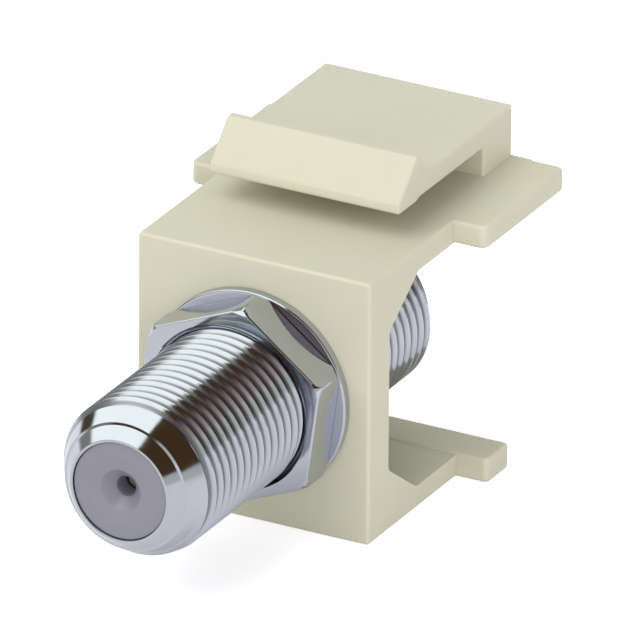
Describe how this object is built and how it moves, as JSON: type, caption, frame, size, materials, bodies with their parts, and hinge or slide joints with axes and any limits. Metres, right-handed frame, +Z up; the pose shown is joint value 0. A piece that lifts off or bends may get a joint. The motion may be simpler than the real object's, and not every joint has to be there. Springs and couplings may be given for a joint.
{
  "type": "coaxial F coupler in a snap-in wall-plate insert",
  "caption": "Snap-in wall-plate insert with a latch arm, carrying a double-ended female coaxial F coupler held by a hexagon nut and washer.",
  "frame": {"origin": "on the coupler's axis, at the insert's front face, where it comes flush with the wall plate", "axes": "-Y out of the wall plate along the coupler's axis, +Z up towards the latch arm, +X to the right seen from the room"},
  "size_m": [0.0188, 0.0353, 0.0205],
  "materials": {
    "ivory_plastic": "satin moulded",
    "nickel_plate": "bright nickel plating on turned brass",
    "grey_dielectric": "smooth moulded",
    "contact_alloy": "tinned spring bronze"
  },
  "bodies": {
    "root": {"insert_housing": "ivory_plastic", "coupler_body": "nickel_plate", "panel_nut": "nickel_plate", "flat_washer": "nickel_plate", "front_insulator": "grey_dielectric", "rear_insulator": "grey_dielectric", "center_contact": "contact_alloy"}
  },
  "joints": []
}
